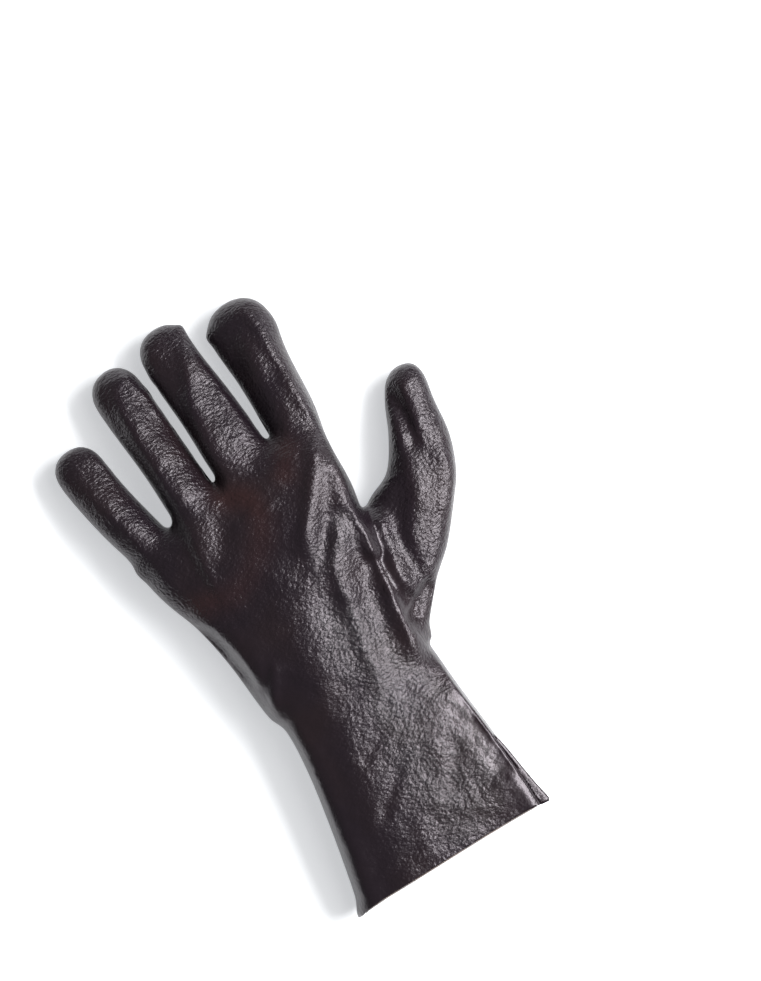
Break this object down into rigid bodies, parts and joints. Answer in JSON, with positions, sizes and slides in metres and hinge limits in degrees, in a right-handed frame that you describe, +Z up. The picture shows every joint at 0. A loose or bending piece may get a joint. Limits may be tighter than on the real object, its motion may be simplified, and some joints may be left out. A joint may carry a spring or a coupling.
{
  "type": "coated work glove",
  "caption": "Left-hand work glove with a gauntlet cuff, a thick smooth coating over a knitted liner, lying palm down with spread fingers.",
  "frame": {"origin": "bottom centre of the glove's box, on the surface that it lies on", "axes": "+Y from the hem to the fingertips, +X towards the thumb, +Z up off the back of the hand"},
  "size_m": [0.1872, 0.307, 0.0453],
  "materials": {
    "coating": "glossy black PVC with the knit's grain showing through",
    "liner_knit": "undyed cotton interlock knit"
  },
  "bodies": {
    "root": {"coated_shell": "coating", "cuff_liner": "liner_knit"}
  },
  "joints": []
}
